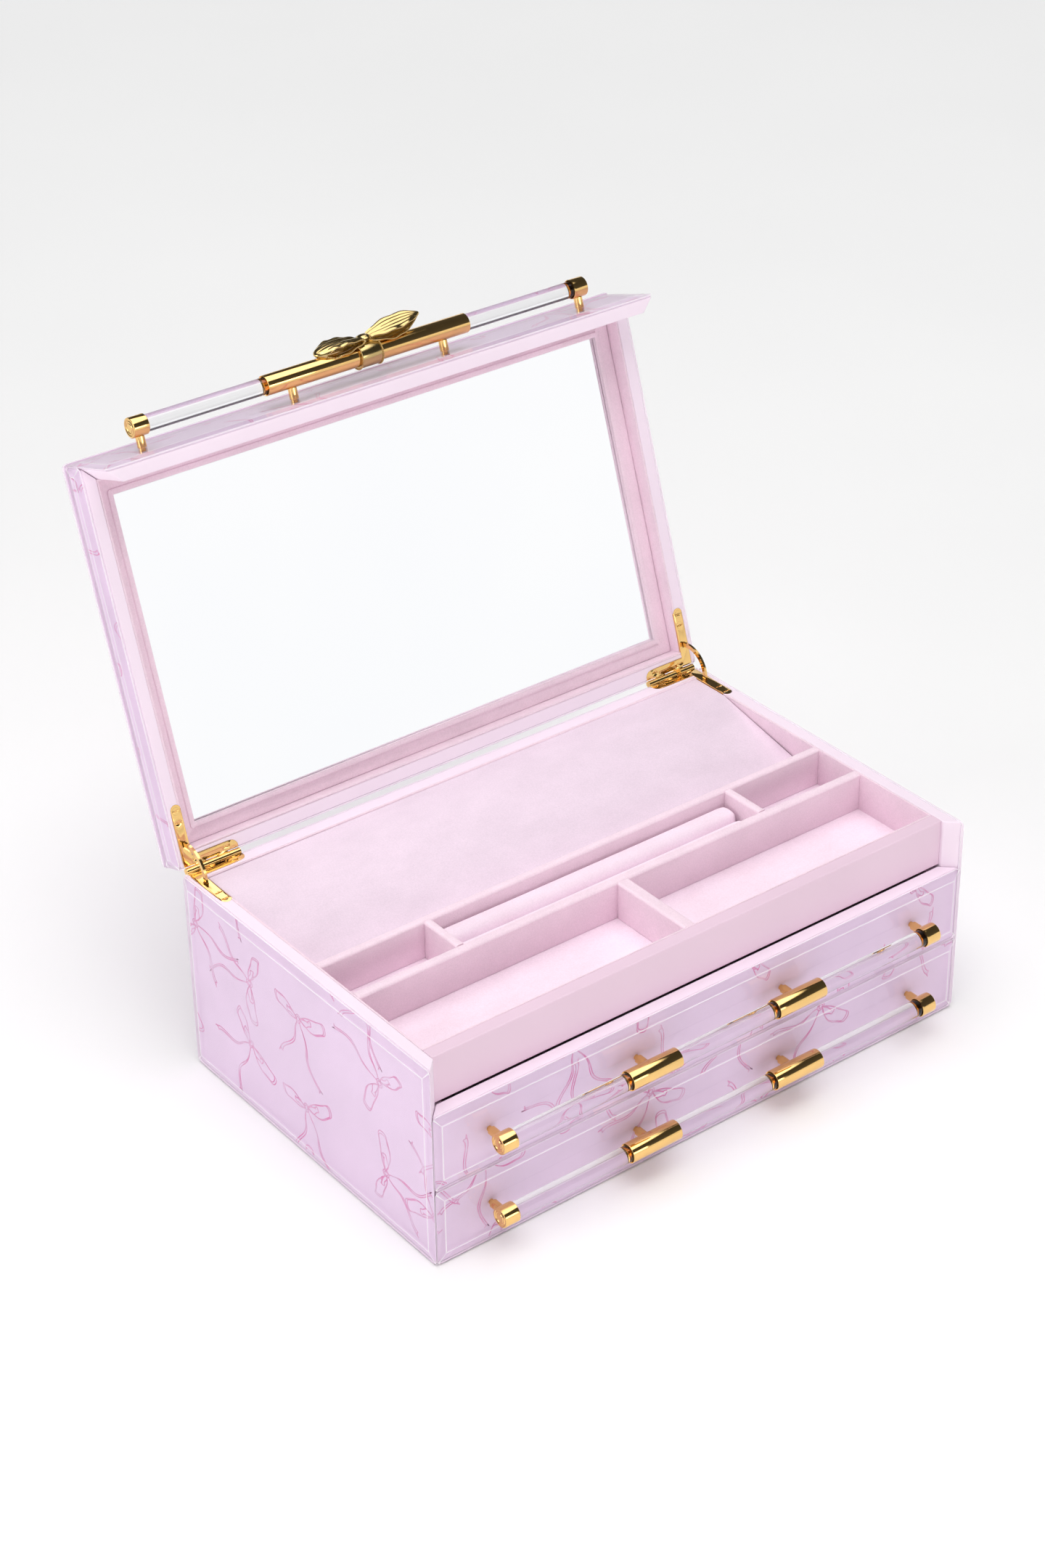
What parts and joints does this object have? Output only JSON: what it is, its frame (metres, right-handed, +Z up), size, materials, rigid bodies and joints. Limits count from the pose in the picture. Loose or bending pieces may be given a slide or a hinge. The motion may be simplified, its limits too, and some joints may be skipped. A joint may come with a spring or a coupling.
{
  "type": "jewellery box",
  "caption": "Glass-faced jewellery box with a mirrored lid on quadrant hinges, a suede compartment tray, drawers, and clear rod handles with gold fittings.",
  "frame": {"origin": "middle of the underside, on the surface that the box stands on", "axes": "+X to the right, -Y out of the drawers' front, +Z up"},
  "size_m": [0.35, 0.3172, 0.3539],
  "materials": {
    "bevelled_glass": "polished, ground bevels",
    "clear_acrylic": "polished clear acrylic",
    "mirror": "silvered",
    "felt": "matt felt",
    "polished_gold": "polished gold plate",
    "pink_suede": "short-nap suede",
    "painted_board": "smooth light pink paint"
  },
  "bodies": {
    "case": {"base_felt": "felt", "floor_board": "painted_board", "left_wall": "painted_board", "right_wall": "painted_board", "back_wall": "painted_board", "inner_front_wall": "painted_board", "drawer_shelf": "painted_board", "tray_board": "painted_board", "tray_floor_lining": "pink_suede", "tray_wall_lining": "pink_suede", "front_divider": "pink_suede", "rear_divider": "pink_suede", "rear_panel": "pink_suede", "front_cross_divider": "pink_suede", "middle_cross_dividers": "pink_suede", "ring_roll": "pink_suede", "side_panes": "bevelled_glass", "back_pane": "bevelled_glass", "drawer_stops": "painted_board", "left_base_leaf": "polished_gold", "right_base_leaf": "polished_gold", "hinge_pins": "polished_gold", "base_leaf_screws": "polished_gold"},
    "lid": {"lid_top_board": "painted_board", "lid_left_rim": "painted_board", "lid_right_rim": "painted_board", "lid_back_rim": "painted_board", "lid_apron": "painted_board", "lid_lining": "pink_suede", "mirror_plate": "mirror", "mirror_frame": "pink_suede", "lid_top_pane": "bevelled_glass", "lid_side_panes": "bevelled_glass", "lid_back_pane": "bevelled_glass", "apron_pane": "bevelled_glass", "left_lid_leaf": "polished_gold", "right_lid_leaf": "polished_gold", "lid_leaf_screws": "polished_gold", "lid_rod": "clear_acrylic", "lid_end_caps": "polished_gold", "lid_sleeve": "polished_gold", "lid_posts": "polished_gold", "bow_band": "polished_gold", "bow_loops": "polished_gold"},
    "left_stay_body": {"left_stay": "polished_gold"},
    "right_stay_body": {"right_stay": "polished_gold"},
    "upper_drawer": {"upper_drawer_front": "painted_board", "upper_drawer_pane": "bevelled_glass", "upper_drawer_box": "painted_board", "upper_drawer_lining": "pink_suede", "upper_rod": "clear_acrylic", "upper_fittings": "polished_gold", "upper_posts": "polished_gold"},
    "lower_drawer": {"lower_drawer_front": "painted_board", "lower_drawer_pane": "bevelled_glass", "lower_drawer_box": "painted_board", "lower_drawer_lining": "pink_suede", "lower_rod": "clear_acrylic", "lower_fittings": "polished_gold", "lower_posts": "polished_gold"}
  },
  "joints": [
    {"name": "lid_hinge", "type": "hinge", "parent": "case", "child": "lid", "pos_m": [0, 0.1091, 0.1183], "axis": [1, 0, 0], "range_deg": [0, 108]},
    {"name": "left_stay_turn", "type": "hinge", "parent": "case", "child": "left_stay_body", "pos_m": [0, 0.1091, 0.1183], "axis": [1, 0, 0], "range_deg": [0, 54]},
    {"name": "right_stay_turn", "type": "hinge", "parent": "case", "child": "right_stay_body", "pos_m": [0, 0.1091, 0.1183], "axis": [1, 0, 0], "range_deg": [0, 54]},
    {"name": "upper_drawer_slide", "type": "slide", "parent": "case", "child": "upper_drawer", "axis": [0, -1, 0], "range_m": [0, 0.15]},
    {"name": "lower_drawer_slide", "type": "slide", "parent": "case", "child": "lower_drawer", "axis": [0, -1, 0], "range_m": [0, 0.15]}
  ],
  "couplings": [
    {"joint": "left_stay_turn", "follows": "lid_hinge", "ratio": 0.5},
    {"joint": "right_stay_turn", "follows": "lid_hinge", "ratio": 0.5}
  ]
}
